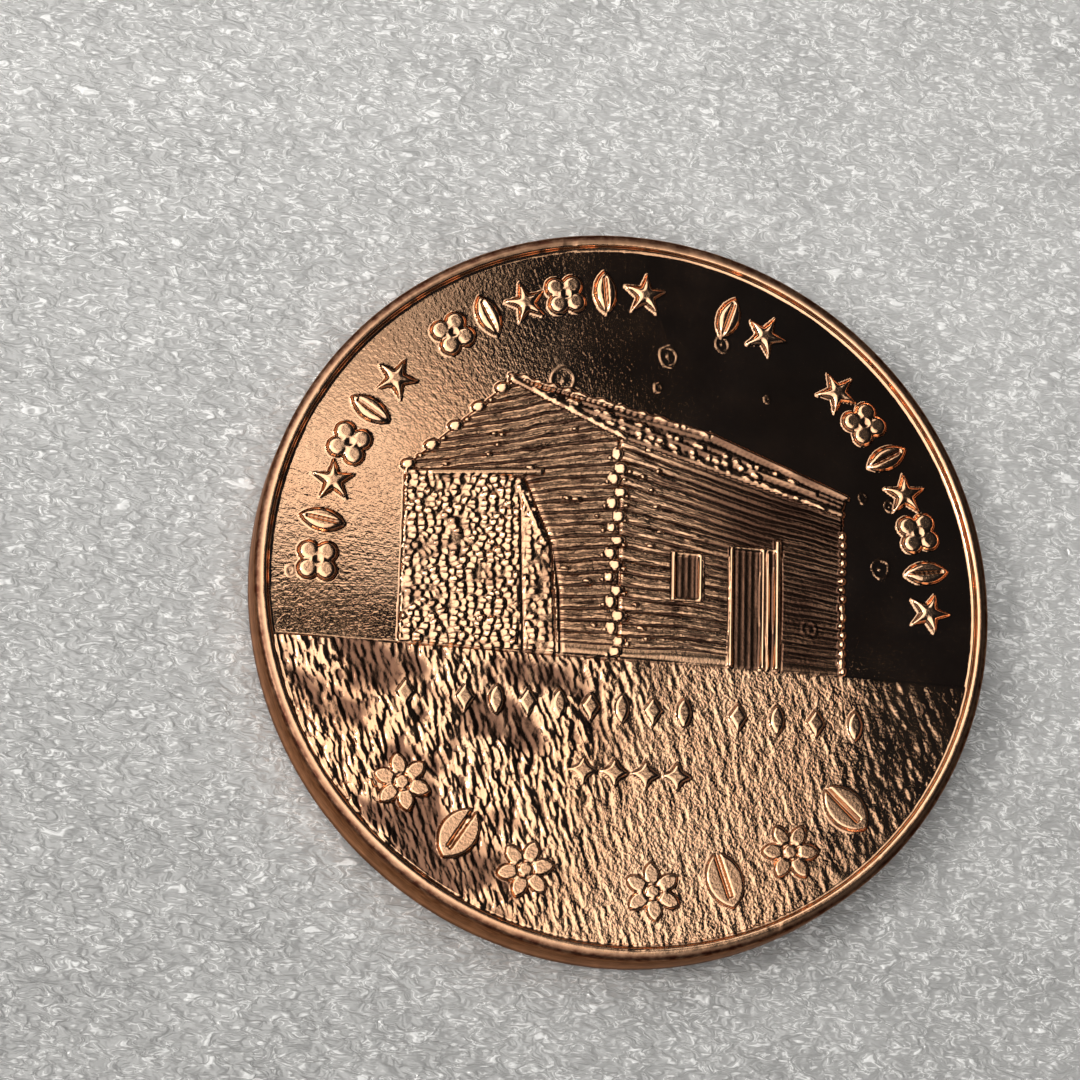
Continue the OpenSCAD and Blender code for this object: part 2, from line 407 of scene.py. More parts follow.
def add_small_rows(relief):
    """The row of small lozenges and leaves on the ground, and the short row of four-pointed stars."""
    reach = 0.5

    def lozenge(x, y):
        return rounded(star_distance(x, y, 2, 0.42, 0.27), SMALL_HEIGHT, 0.1)

    def leaf(x, y):
        return rounded(leaf_distance(x, y, 0.84, 0.42), SMALL_HEIGHT, 0.1)

    def star(x, y):
        return rounded(star_distance(x, y, 4, 0.42, 0.22), SMALL_HEIGHT, 0.09)

    for start, count, pitch in LONG_ROW_GROUPS:
        for i in range(count):
            relief.stamp((start + i * pitch, LONG_ROW_Y), reach, (lozenge, leaf)[i % 2])
    for x in SHORT_ROW_X:
        relief.stamp((x, SHORT_ROW_Y), reach, star)


def line_y(x, a, b):
    """Height at x of the line through a and b."""
    return a[1] + (x - a[0]) * (b[1] - a[1]) / (b[0] - a[0])


def walls(x, y, near_top, far_top, far_x, courses, seed):
    """(height, course number) of log courses that fan from the near corner to the far end."""
    top = line_y(x, (NEAR_CORNER_X, near_top), (far_x, far_top))
    course = (y - HORIZON_Y) / (top - HORIZON_Y) * courses
    course = course + 0.16 * noise(x * 0.6, y * 0.5, seed) + 0.05 * noise(x * 2.1, y * 2.1, seed + 1)
    number = np.floor(course)
    log = np.sin(np.pi * (course - number)) ** 0.8
    # Each log has its own thickness, and hewn flats along it.
    own = 0.74 + 0.26 * lattice(number, np.full_like(number, seed), seed)
    hewn = 0.84 + 0.22 * noise(x * 1.3, course * 0.9, seed + 3)
    height = WALL_HEIGHT + (LOG_HEIGHT - WALL_HEIGHT) * log * own * hewn
    return height, course


def add_chips(relief, corners, count, seed):
    """Small bright lumps scattered inside a polygon."""
    low_x, high_x = min(c[0] for c in corners), max(c[0] for c in corners)
    low_y, high_y = min(c[1] for c in corners), max(c[1] for c in corners)
    random = lattice(np.arange(count * 4), np.zeros(count * 4), seed).reshape(4, count)
    x = low_x + (high_x - low_x) * (random[0] + 1) / 2
    y = low_y + (high_y - low_y) * (random[1] + 1) / 2
    inside = polygon_distance(x, y, corners) > 0.1
    for cx, cy, long, turn in zip(x[inside], y[inside], random[2][inside], random[3][inside]):
        add_dome(relief, (cx, cy), 0.12 + 0.05 * long, 0.045, SMALL_HEIGHT, 10 * turn, grain=0.0, reach=0.2)


def add_gable(relief):
    """The cabin's left wall, up to its rake."""
    x, y = relief.x, relief.y
    corners = [
        RIDGE_LEFT,
        (GABLE_LEFT_X, GABLE_EAVE_Y),
        (GABLE_LEFT_X, HORIZON_Y),
        (NEAR_CORNER_X, HORIZON_Y),
        EAVE_LEFT,
    ]
    distance = polygon_distance(x, y, corners)
    near_top = RIDGE_LEFT[1]
    count = round((near_top - HORIZON_Y) / COURSE_PITCH)
    made, course = walls(x, y, near_top, near_top - 1.5, GABLE_LEFT_X, count, 11)
    # Painted shade: the wall is painted darker towards its right, with random patches
    tarnish = 0.03 + 0.13 * smooth(-5.0, -1.0, x) + 0.12 * noise(x * 0.9, y * 2.0, 13)
    relief.lay(distance, made * smooth(0, 0.05, distance), 0.3, 0.12, tarnish, course)
    add_chips(relief, corners, 36, 17)


def add_front(relief):
    """The cabin's right wall, with the openings of its window and its door."""
    x, y = relief.x, relief.y
    corners = [EAVE_LEFT, (NEAR_CORNER_X, HORIZON_Y), (FAR_CORNER_X, HORIZON_Y), EAVE_RIGHT]
    distance = polygon_distance(x, y, corners)
    made, course = walls(x, y, EAVE_LEFT[1], EAVE_RIGHT[1], FAR_CORNER_X, COURSES, 29)
    # Painted shade: the wall is painted darker towards its far end
    tarnish = 0.06 + 0.8 * smooth(1.3, 3.3, x + 0.45 * (y - 1)) + 0.12 * noise(x * 0.9, y * 2.0, 15)
    made = made + (WALL_HEIGHT - made) * (0.15 + 0.68 * smooth(1.2, 4.2, x))
    # The wall turns away from the viewer, so its far end lies lower.
    made = made - 0.022 * smooth(0.0, 5.6, x)
    for left, low, right, high in (WINDOW, DOOR):
        middle_x, middle_y = (left + right) / 2, (low + high) / 2
        opening = box_distance(x - middle_x, y - middle_y, (right - left) / 2, (high - low) / 2)
        bars = np.clip(1 - np.abs(((x - left) / 0.17) % 1.0 - 0.5) * 3.2, 0, 1)
        depth = 0.026 + 0.014 * bars * (0.7 + 0.3 * noise(y * 3, x * 5, 31))
        made = np.where(opening > 0, depth, made)
        # Painted shade: the openings are painted near black, a little lighter on the bars
        tarnish = np.where(opening > 0, 0.97 - 0.1 * bars, tarnish)
        course = np.where(opening > 0, NO_COURSE, course)
    # The far end is smoother, so that it mirrors the dark part of the room.
    polish = 0.3 + 0.6 * smooth(1.8, 4.6, x)
    relief.lay(distance, made * smooth(0, 0.04, distance), polish, 0.12, tarnish, course)
    clear_x = WINDOW[0] - 0.15
    left_of_window = [EAVE_LEFT, (NEAR_CORNER_X, HORIZON_Y), (clear_x, HORIZON_Y), (clear_x, 3.7)]
    add_chips(relief, left_of_window, 16, 19)


def add_frames(relief):
    """Upright side pieces of the window and the door, and their heads and sill."""
    left, low, right, high = WINDOW
    tall = (high - low) / 2
    middle = (low + high) / 2
    for x, wide in ((left + 0.05, 0.05), (right - 0.07, 0.075)):
        add_bar(relief, (x, middle), 1.0, wide, tall, SMALL_HEIGHT, 0.06)
    add_bar(relief, ((left + right) / 2, high), 0.8, 0.42, 0.045, 0.115, 0.05)
    add_bar(relief, ((left + right) / 2, low), 0.8, 0.42, 0.04, 0.105, 0.05)
    left, low, right, high = DOOR
    tall = (high - low) / 2
    middle = (low + high) / 2
    # Each upright: its place, half its width, and how much it stands above the door's head.
    uprights = (
        (left + 0.06, 0.07, 0.0),
        (left + 0.9, 0.07, 0.0),
        (left + 1.03, 0.045, -0.05),
        (right - 0.12, 0.09, 0.3),
    )
    for x, wide, extra in uprights:
        add_bar(relief, (x, middle + extra / 2), 2.2, wide, tall + extra / 2, 0.135, 0.07)
    add_bar(relief, ((left + right) / 2, high), 1.0, 0.68, 0.05, 0.12, 0.05)


def add_bar(relief, centre, reach, half_width, half_height, top, bevel, turn=0.0):
    """A straight piece with rounded edges."""

    def shape(x, y):
        return rounded(box_distance(x, y, half_width, half_height), top, bevel)

    relief.stamp(centre, reach, shape, turn)


# Start, end, half width, height and seed of each pole
ROOF_POLES = (
    ((-3.2, 5.42), RIDGE_BEND, 0.055, 0.125, 80),
    (RIDGE_BEND, RIDGE_RIGHT, 0.075, 0.125, 81),
    ((-2.0, 4.88), (4.9, 2.95), 0.07, 0.12, 82),
    ((-0.1, 4.0), (5.6, 2.45), 0.09, 0.12, 83),
    (RIDGE_LEFT, (-0.15, 4.0), 0.1, 0.135, 84),
)
# Start, end, count, length, width, height and seed of each row of lumps
ROOF_LUMPS = (
    ((-3.1, 5.45), RIDGE_BEND, 13, 0.3, 0.12, 0.143, 81),
    ((-2.6, 5.12), (4.4, 3.2), 19, 0.26, 0.1, 0.143, 83),
    ((-1.2, 4.5), (3.4, 3.28), 14, 0.24, 0.11, 0.14, 84),
    ((-0.1, 4.12), (5.3, 2.5), 15, 0.28, 0.11, 0.138, 85),
    ((-2.8, 5.15), (-0.2, 4.05), 7, 0.36, 0.2, 0.145, 86),
)


def add_roof(relief):
    """Long knotty poles from verge to verge, with rows of lumps along them and on the near verge."""
    x, y = relief.x, relief.y
    corners = [RIDGE_LEFT, EAVE_LEFT, EAVE_RIGHT, RIDGE_RIGHT, RIDGE_BEND]
    distance = polygon_distance(x, y, corners)
    left_ridge = line_y(x, RIDGE_LEFT, RIDGE_BEND)
    ridge = np.where(x < RIDGE_BEND[0], left_ridge, line_y(x, RIDGE_BEND, RIDGE_RIGHT))
    eave = line_y(x, EAVE_LEFT, EAVE_RIGHT)
    up = (y - eave) / np.maximum(ridge - eave, 0.05)
    pole = up * 4 + 0.1 * noise(x * 0.8, np.zeros_like(x), 41)
    number = np.floor(pole)
    fraction = pole - number
    body = np.sqrt(np.clip(1 - np.abs(2 * fraction - 1) ** 2.2, 0, 1))
    knots = 0.78 + 0.3 * noise(x * 1.5 + number * 9.1, number * 3.7, 43)
    knots = knots + 0.14 * noise(x * 4, number * 8.1, 44)
    made = 0.04 + 0.05 * body * np.clip(knots, 0.3, 1.1)
    # Painted shade: the roof between the poles is painted dark
    relief.lay(distance, made * smooth(0, 0.05, distance), 0.6, 0.1, 0.85)
    for pole in ROOF_POLES:
        add_pole(relief, *pole)
    for row in ROOF_LUMPS:
        add_lumps(relief, *row)


def add_pole(relief, start, end, half_width, height, seed):
    """A long round bar, a little uneven along its length."""
    away = line_distance(relief.x, relief.y, start, end)
    uneven = 0.93 + 0.07 * noise(relief.x * 2.2, relief.y * 0.5, seed)
    made = height * uneven * (0.4 + 0.6 * np.sqrt(np.clip(1 - (away / half_width) ** 2, 0, 1)))
    # Painted shade: the pole is painted dark, a little less in patches
    dark = 0.72 + 0.28 * noise(relief.x * 1.7, relief.y * 1.7, seed + 7)
    relief.lay(half_width - away, made, 0.35, 0.05, dark)


def add_lumps(relief, start, end, count, length, width, height, seed):
    """A line of long lumps with uneven gaps: knotty poles, pole ends and worn ridges."""
    run = (end[0] - start[0], end[1] - start[1])
    turn = math.degrees(math.atan2(run[1], run[0]))
    for i in range(count):
        jitter = lattice(np.full(5, i), np.arange(5), seed)
        t = (i + 0.5 + 0.45 * jitter[0]) / count
        centre = (start[0] + run[0] * t, start[1] + run[1] * t + 0.03 * jitter[1])
        half_length = length * (0.58 + 0.26 * jitter[2])
        half_width = width * (0.58 + 0.12 * jitter[3])
        top = height - 0.008 + 0.008 * jitter[4]
        reach = half_length * 1.1
        add_dome(relief, centre, half_length, half_width, top, turn + 6 * jitter[1], grain=0.05, reach=reach)


def dome(x, y, half_width, half_height, top, foot=0.05):
    """A lump that rises to top from steep sides that start at foot."""
    q = (x / half_width) ** 2 + (y / half_height) ** 2
    return np.where(q < 1, foot * smooth(1, 0.85, q) + (top - foot) * np.sqrt(np.clip(1 - q, 0, 1)), 0.0)


def add_dome(relief, centre, half_width, half_height, top, turn=0.0, lean=0.0, grain=0.1, reach=0.3):
    """Stamps one lump that rises by a share, lean, from its middle to its right end."""

    def shape(x, y):
        return dome(x, y, half_width, half_height, top) * (1 + lean * x / half_width)

    relief.stamp(centre, reach, shape, turn, grain=grain)


def add_log_ends(relief):
    """Corner stacks and the stepped log ends up the left rake."""
    for i in range(COURSES - 1):
        jitter = lattice(np.full(4, i), np.arange(4), 71)
        out = 1 if i % 2 else -1
        y = HORIZON_Y + (i + 0.5) * COURSE_PITCH
        x = NEAR_CORNER_X + 0.08 * out - STACK_BULGE * math.sin(math.pi * (i + 0.5) / COURSES)
        half_width = 0.16 + 0.04 * jitter[2]
        half_height = COURSE_PITCH * (0.5 + 0.08 * jitter[3])
        centre = (x + 0.04 * jitter[0], y + 0.03 * jitter[1])
        add_dome(relief, centre, half_width, half_height, 0.143, lean=0.28)
        add_dome(relief, (x + 0.2 * out, y - 0.1), 0.07, 0.05, SMALL_HEIGHT, reach=0.2)
    far_pitch = (EAVE_RIGHT[1] - HORIZON_Y) / COURSES
    for i in range(COURSES - 2):
        jitter = lattice(np.full(3, i), np.arange(3), 73)
        centre = (FAR_CORNER_X + 0.03 * jitter[0], HORIZON_Y + (i + 0.5) * far_pitch)
        add_dome(relief, centre, 0.1, far_pitch * (0.46 + 0.14 * jitter[1]), 0.13)
    rake = (RIDGE_LEFT[0] - GABLE_LEFT_X, RIDGE_LEFT[1] - GABLE_EAVE_Y)
    for i in range(5):
        jitter = lattice(np.full(3, i), np.arange(3), 77)
        t = (i + 0.15) / 4.6
        centre = (GABLE_LEFT_X + rake[0] * t, GABLE_EAVE_Y + rake[1] * t)
        add_dome(relief, centre, 0.2, 0.15, 0.14, turn=15, lean=0.24)
        beside = (centre[0] + 0.3, centre[1] + 0.2 + 0.05 * jitter[0])
        add_dome(relief, beside, 0.09, 0.06, 0.13, reach=0.2)


def chimney_corners():
    """Its face and the side beyond the dark joint."""
    return [
        (GABLE_LEFT_X, HORIZON_Y),
        (CHIMNEY_SIDE_X, HORIZON_Y),
        (CHIMNEY_SIDE_X - 0.22, 1.0),
        (CHIMNEY_FACE_RIGHT_X + 0.2, CHIMNEY_TOP_Y),
        (GABLE_LEFT_X, CHIMNEY_TOP_Y),
    ]


def add_chimney(relief):
    """Rough stones in mortar, with a dark joint down its right side and a plank across its top."""
    x, y = relief.x, relief.y
    distance = polygon_distance(x, y, chimney_corners())
    bed = 0.07 + 0.016 * layered_noise(x * 5, y * 5, 81)
    inside = distance > 0
    edge = smooth(0, 0.05, distance)
    relief.put(inside, height=bed * edge, polish=0.3, course=NO_COURSE)
    wide, tall = 0.23, 0.17
    gap, own, dx, dy = cells(x / wide, y / tall, 0.85, 83)
    side = x > CHIMNEY_FACE_RIGHT_X + 0.1
    patch = noise(x * 1.1, y * 1.6, 87)
    top = 0.115 + 0.03 * own - 0.024 * side + 0.02 * patch
    # Each stone leans its own way, most of them up to the right.
    lean = wide * dx * (0.55 + 0.35 * own_number(own, 85))
    lean = lean + tall * dy * (0.1 + 0.4 * own_number(own, 85, row=1))
    dome_height = np.sqrt(np.clip(1 - (dx * dx + dy * dy) / 0.66**2, 0, 1))
    stone = 0.05 + (top + 0.5 * lean - 0.05) * dome_height * np.sqrt(smooth(0.0, 0.3, gap))
    # Painted shade in the joints between stones, and some stones painted darker at random
    painted_joint_shade = 0.6 * smooth(0.18, 0.04, gap) + 0.5 * smooth(0.45, 0.75, 0.4 * own - patch)
    raised = np.maximum(relief.height, stone * edge)
    relief.put(inside, height=raised, tarnish=np.clip(painted_joint_shade, 0, 0.85))
    face_right, side_right = CHIMNEY_FACE_RIGHT_X, CHIMNEY_SIDE_X
    joint = [
        (face_right + 0.24, CHIMNEY_TOP_Y),
        (side_right - 0.19, 1.0),
        (side_right + 0.02, -0.2),
        (side_right + 0.1, HORIZON_Y),
    ]
    for a, b in zip(joint, joint[1:]):
        cut_groove(relief, a, b, 0.06, 0.05)
    cut_groove(relief, (face_right + 0.1, 2.2), (face_right + 0.3, HORIZON_Y), 0.05, 0.03)
    add_lumps(relief, (face_right + 0.05, 2.45), (side_right - 0.36, 0.9), 8, 0.26, 0.16, 0.145, 89)
    add_bar(relief, (-3.75, CHIMNEY_TOP_Y + 0.06), 1.7, 1.5, 0.1, 0.14, 0.08, turn=5.5)


def cut_groove(relief, a, b, half_width, left_over):
    """Lowers the face to left_over along a line."""
    depth = np.clip(1 - line_distance(relief.x, relief.y, a, b) / half_width, 0, 1)
    lowered = np.minimum(relief.height, left_over)
    relief.height = relief.height * (1 - depth) + lowered * depth


def blades(x, y, wide, long, degrees, seed):
    """Heights from 0 to 1 of scattered short blades that lean by degrees from +X."""
    along, across = turned(x, y, degrees)
    across = across + 0.05 * noise(x * 2.2, y * 2.2, seed + 5)
    _, own, dx, dy = cells(across / wide, along / long, 0.95, seed)
    other = own_number(own, seed + 6)
    dx = dx + 0.3 * other * dy
    q = (dx / (0.47 + 0.12 * own)) ** 2 + (dy / (0.62 + 0.2 * other)) ** 2
    return np.sqrt(np.clip(1 - q, 0, 1)) * (0.72 + 0.28 * own)


def add_ground(relief):
    """Grass in short leaning blades: deep and long at the lower left, fine and shallow in the middle."""
    x, y = relief.x, relief.y
    below = HORIZON_Y - y
    edge = smooth(0.0, 0.05, below)
    left = smooth(1.4, -3.2, x - 0.4 * (y + 5))
    middle = smooth(6.4, 4.4, x - 0.3 * (y + 5))
    grown = np.maximum(blades(x, y, 0.16, 0.4, 112, 93), 0.9 * blades(x, y, 0.2, 0.5, 101, 97))
    clumps = layered_noise(x * 0.9 + 0.4 * y, y * 0.8, 95, 3)
    along, across = turned(x, y, 110)
    across = across + 0.1 * noise(x * 0.8, y * 0.8, 91)
    strokes = layered_noise(across * 9, along * 3, 94, 2)
    full = smooth(-0.35, 0.15, clumps)
    height = 0.025 + 0.065 * grown * left * (0.35 + 0.65 * full) + 0.045 * clumps * left
    height = height + 0.05 * strokes * (0.1 + 0.14 * middle + 0.12 * left)
    grain = 0.12 + 0.75 * middle * (1 - 0.8 * left)
    shade = left * (smooth(0.45, 0.0, grown) * 0.9 + (1 - full))
    relief.put(
        below > 0,
        height=np.clip(height, 0.002, 0.12) * edge,
        polish=0.8 - 0.5 * middle,
        grain=grain,
        tarnish=np.clip(shade, 0, 0.95),
    )


# Centre and radius of each ring where the plating has lifted
BLISTERS = (
    ((-1.8, 5.4), 0.3), ((0.95, 6.35), 0.22), ((2.4, 6.8), 0.17), ((6.65, 1.1), 0.22),
    ((4.75, -0.7), 0.17), ((6.2, 2.95), 0.1), ((6.9, 2.8), 0.12), ((0.7, 5.45), 0.09),
    ((-8.6, -0.25), 0.1), ((3.6, 5.4), 0.07),
)


def add_blisters(relief):
    """Rings where the plating has lifted. Gives back the dullness of rings, specks and one scratch."""
    mark = np.zeros_like(relief.x)
    for (cx, cy), r in BLISTERS:
        warp = 0.18 * r * noise(relief.x / r + cx, relief.y / r + cy, 103)
        away = np.hypot(relief.x - cx, (relief.y - cy) * 0.85) + warp
        ring = np.clip(1 - np.abs(away - r) / 0.05, 0, 1)
        lump = np.clip(1 - away / (r * 0.5), 0, 1)
        relief.height = relief.height + 0.007 * smooth(0, 1, ring) + 0.006 * smooth(0, 1, lump)
        mark = np.maximum(mark, 0.8 * np.maximum(ring, 0.4 * lump))
    _, own, dx, dy = cells(relief.x / 0.55, relief.y / 0.55, 0.9, 105)
    shown = (own > 0.35) * (relief.polish > 0.9)
    speck = np.clip(1 - np.hypot(dx, dy) / (0.04 + 0.03 * own), 0, 1) * shown
    scratch = line_distance(relief.x, relief.y, (0.95, 6.5), (0.72, 7.25))
    mark = np.maximum(mark, 0.45 * speck)
    mark = np.maximum(mark, 0.7 * np.clip(1 - scratch / 0.035, 0, 1))
    return mark


def upper_relief(x, y):
    """The upper face's relief, with its marks."""
    relief = Relief(x, y)
    add_ground(relief)
    add_gable(relief)
    add_front(relief)
    add_frames(relief)
    add_roof(relief)
    add_chimney(relief)
    add_log_ends(relief)
    add_rings(relief)
    add_small_rows(relief)
    relief.tarnish = np.maximum(relief.tarnish, add_blisters(relief))
    return relief


# ---- The lower face: two sprigs and a star ----


def lower_relief(x, y):
    """The lower face's relief: a wreath of two leafy sprigs, open at the top, round a star."""
    relief = Relief(x, y)

    def leaf(u, v):
        return veined(u, v, 1.5, 0.55, LOG_HEIGHT, 0.16)

    step = 150 / LEAF_PAIRS
    for side in (-1, 1):
        for i in range(LEAF_PAIRS):
            angle = -80 + (i + 0.5) * step
            a = math.radians(angle)
            centre = (WREATH_RADIUS * math.cos(a), WREATH_RADIUS * math.sin(a))
            for lean in (-32, 32):
                turn = angle + lean
                b = math.radians(turn)
                place = (side * (centre[0] - 0.75 * math.sin(b)), centre[1] + 0.75 * math.cos(b))
                relief.stamp(place, 1.1, leaf, side * turn)
    away = np.hypot(x, y)
    stem = np.where((y > 0) & (np.abs(x) < 1.6), -1.0, 0.09 - np.abs(away - WREATH_RADIUS))
    relief.lay(stem, rounded(stem, 0.08, 0.09), 0.3)
    relief.stamp((0, 0), 3.2, star_facets)
    return relief


def star_facets(x, y):
    """A five-pointed star whose arms rise to a ridge."""
    distance = star_distance(x, y, 5, 3.1, 1.25)
    ridged = np.where(distance > 0, 0.03 + 0.1 * np.clip(distance / 0.75, 0, 1), 0.0)
    return ridged * smooth(0, 0.05, distance)


# ---- Building the skin's mesh ----


def square_to_disc(count, radius):
    """Points of a square grid bent into a disc, with the grid's edge on the circle."""
    step = np.linspace(-1, 1, count + 1)
    u, v = np.meshgrid(step, step, indexing="ij")
    x = u * np.sqrt(1 - v * v / 2)
    y = v * np.sqrt(1 - u * u / 2)
    return (x * radius).ravel(), (y * radius).ravel()


def grid_faces(count, first, flip=False):
    """The quads of a grid of count by count cells. first is the number of its first point."""
    i, j = np.meshgrid(np.arange(count), np.arange(count), indexing="ij")
    a = first + i * (count + 1) + j
    quads = np.stack([a, a + count + 1, a + count + 2, a + 1], -1).reshape(-1, 4)
    return quads[:, ::-1] if flip else quads


def grid_boundary(count, first):
    """The grid's edge points, anticlockwise from -45 degrees."""
    n = np.arange(count)
    w = count + 1
    return first + np.concatenate([count * w + n, (count - n) * w + count, count - n, n * w])


def strip_faces(outer, inner):
    """Quads between two loops of the same length."""
    return np.stack([inner, outer, np.roll(outer, -1), np.roll(inner, -1)], -1)


def rim_section():
    """(radius, height below the rim's top, how dark it is painted) from the slope's foot over the rim to the
    edge wall.
    """
    points = [(FIELD_RADIUS + out, RIM_HEIGHT - up, 0.0) for out, up in RIM_FILLET]
    start = FIELD_RADIUS + RIM_FILLET[-1][0]
    flat = COIN_RADIUS - EDGE_ROUNDING - start
    for k in range(1, 6):
        t = k / 5
        points.append((start + flat * t, RIM_CLEARANCE + RIM_CROWN * (2 * t - 1) ** 2, 0.1 + 0.4 * t**3))
    drop = EDGE_ROUNDING - RIM_CLEARANCE - RIM_CROWN
    for k in range(1, 8):
        a = k / 7 * math.pi / 2
        radius = COIN_RADIUS - EDGE_ROUNDING * (1 - math.sin(a))
        points.append((radius, EDGE_ROUNDING - drop * math.cos(a), min(1.0, 0.7 + 0.15 * k)))
    return points


def wear(x, y, z, seed):
    """How far small nicks pull a rim point in."""
    dents = np.clip(noise(x * 2.3, y * 2.3 + z * 3, seed) - 0.45, 0, 1) * 0.02
    ripples = 0.003 * (layered_noise(x * 4, y * 4 + z * 2, seed + 4) + 1)
    return dents + ripples


class Skin:
    """The closed skin's points and faces, with the marks that its material reads."""

    def __init__(self):
        self.points = []
        self.quads = []
        self.triangles = []
        self.marks = {"polish": [], "grain": [], "tarnish": [], "toned": [], "course": []}
        self.count = 0

    def add_points(self, x, y, z, polish=0.2, grain=0.0, tarnish=0.0, toned=0.0, course=NO_COURSE):
        """Adds points and gives back their numbers."""
        numbers = self.count + np.arange(len(x))
        self.points.append(np.stack([x, y, z], -1))
        given = {"polish": polish, "grain": grain, "tarnish": tarnish, "toned": toned, "course": course}
        for name, values in given.items():
            self.marks[name].append(np.broadcast_to(values, x.shape))
        self.count += len(x)
        return numbers

    def add_loop(self, loop, x, y, z, toned):
        """Adds a ring of points and joins it to the loop before it."""
        ring = self.add_points(x, y, z, toned=toned)
        self.quads.append(strip_faces(ring, loop))
        return ring

    def halve(self, loop, x, y, z, toned):
        """Joins a loop to a ring that has half as many points."""
        ring = self.add_points(x, y, z, toned=toned)
        after = np.roll(ring, -1)
        even, odd = loop[::2], loop[1::2]
        following = np.roll(even, -1)
        for corners in ((even, ring, odd), (odd, ring, after), (odd, after, following)):
            self.triangles.append(np.stack(corners, -1))
        return ring


def upper_rim_and_wall(skin, loop):
    """From the upper field's edge over the rim and down the edge wall."""
    foot = np.concatenate(skin.points)[loop]
    foot_z = foot[:, 2]
    angles = np.arctan2(foot[:, 1], foot[:, 0])
    across, along = np.cos(angles), np.sin(angles)
    for k, (r, below, toned) in enumerate(rim_section()):
        x, y = r * across, r * along
        z = COIN_THICKNESS - below - wear(x, y, 0, 201)
        # The slope's first steps don't dip below relief that runs up to it.
        z = np.maximum(z, foot_z) if k < RIM_FOOT_STEPS else z
        # The rim's top is painted browner towards the top of the picture: painted shade, where it mirrors
        # the dark part of the room.
        painted_top_shade = 0.45 * smooth(0.3, 0.9, along) if toned > 0 else 0.0
        loop = skin.add_loop(loop, x, y, z, np.minimum(toned + painted_top_shade, 1.0))
    for level, toned in WALL_TONES:
        z = np.full_like(angles, EDGE_ROUNDING + (COIN_THICKNESS - 2 * EDGE_ROUNDING) * level)
        loop = skin.add_loop(loop, COIN_RADIUS * across, COIN_RADIUS * along, z, toned)
    return loop, angles


def lower_rim(skin, loop, angles):
    """Half as many points round the lower rim, from the edge wall to the lower field's edge."""
    across, along = np.cos(angles[::2]), np.sin(angles[::2])
    for k, (r, below, toned) in enumerate(rim_section()[::-1]):
        x, y = r * across, r * along
        z = below + wear(x, y, 5, 203)
        join = skin.halve if k == 0 else skin.add_loop
        loop = join(loop, x, y, z, toned)
    return loop


def coin_skin():
    """The whole closed skin: upper face, rim, edge wall, lower rim and lower face."""
    skin = Skin()
    x, y = square_to_disc(UPPER_CELLS, FIELD_RADIUS)
    made = upper_relief(x, y)
    z = UPPER_FIELD_Z + made.height
    skin.add_points(x, y, z, made.polish, made.grain, made.tarnish, course=made.course)
    skin.quads.append(grid_faces(UPPER_CELLS, 0))
    loop, angles = upper_rim_and_wall(skin, grid_boundary(UPPER_CELLS, 0))
    loop = lower_rim(skin, loop, angles)
    x, y = square_to_disc(LOWER_CELLS, FIELD_RADIUS)
    made = lower_relief(x, y)
    first = skin.count
    skin.add_points(x, y, RIM_HEIGHT - made.height, made.polish, made.grain)
    skin.quads.append(grid_faces(LOWER_CELLS, first, flip=True))
    skin.quads.append(strip_faces(grid_boundary(LOWER_CELLS, first), loop))
    return skin


def mesh_object(name, vertices, quads, triangles):
    """A smooth-shaded object from points in millimetres."""
    mesh = bpy.data.meshes.new(name)
    mesh.vertices.add(len(vertices))
    mesh.vertices.foreach_set("co", (vertices * MM).astype(np.float32).ravel())
    corners = np.concatenate([quads.ravel(), triangles.ravel()]).astype(np.int32)
    starts = np.concatenate([np.arange(len(quads)) * 4, len(quads) * 4 + np.arange(len(triangles)) * 3])
    mesh.loops.add(len(corners))
    mesh.loops.foreach_set("vertex_index", corners)
    mesh.polygons.add(len(starts))
    mesh.polygons.foreach_set("loop_start", starts.astype(np.int32))
    mesh.polygons.foreach_set("use_smooth", np.ones(len(starts), bool))
    mesh.update(calc_edges=True)
    mesh.validate()
    obj = bpy.data.objects.new(name, mesh)
    bpy.context.scene.collection.objects.link(obj)
    return obj


def add_mark(obj, name, values):
    """A number for each point, for the material to read."""
    attribute = obj.data.attributes.new(name, "FLOAT", "POINT")
    attribute.data.foreach_set("value", values.astype(np.float32))


def add_bake_map(obj, points):
    """A flat map of the skin: the upper face, the lower face at half size, and the wall in four strips."""
    mesh = obj.data
    corner = np.empty(len(mesh.loops), np.int32)
    mesh.loops.foreach_get("vertex_index", corner)
    sides = np.empty(len(mesh.polygons), np.int32)
    mesh.polygons.foreach_get("loop_total", sides)
    face = np.repeat(np.arange(len(sides)), sides)
    x, y, z = points[corner].T

    def over_face(values):
        """Each corner's value averaged over its face."""
        return (np.bincount(face, values) / sides)[face]

    radius = np.hypot(x, y)
    on_wall = over_face(radius > COIN_RADIUS - 0.0001) > 0.99
    upper = over_face(z) > COIN_THICKNESS / 2
    # The rounding between rim and wall is laid out flat, past the rim.
    drop = np.where(upper, COIN_THICKNESS - z, z)
    laid_out = 1 + np.where(radius > COIN_RADIUS - EDGE_ROUNDING, drop, 0) / np.maximum(radius, 1)
    share = laid_out / (COIN_RADIUS + EDGE_ROUNDING + 0.02)
    u = np.where(upper, 0.33 + 0.32 * x * share, 0.835 - 0.155 * x * share)
    v = np.where(upper, 0.33 + 0.32 * y * share, 0.835 + 0.155 * y * share)
    quarter = math.pi / 2
    middle = np.arctan2(over_face(y), over_face(x)) % (2 * math.pi)
    strip = np.floor(middle / quarter)
    from_middle = (np.arctan2(y, x) - middle + math.pi) % (2 * math.pi) - math.pi
    u = np.where(on_wall, 0.01 + 0.64 * ((middle + from_middle) / quarter - strip), u)
    v = np.where(on_wall, 0.69 + 0.075 * strip + 0.06 * z / COIN_THICKNESS, v)
    layer = mesh.uv_layers.new(name="OFBake")
    layer.data.foreach_set("uv", np.stack([u, v], -1).astype(np.float32).ravel())


# ---- Materials ----


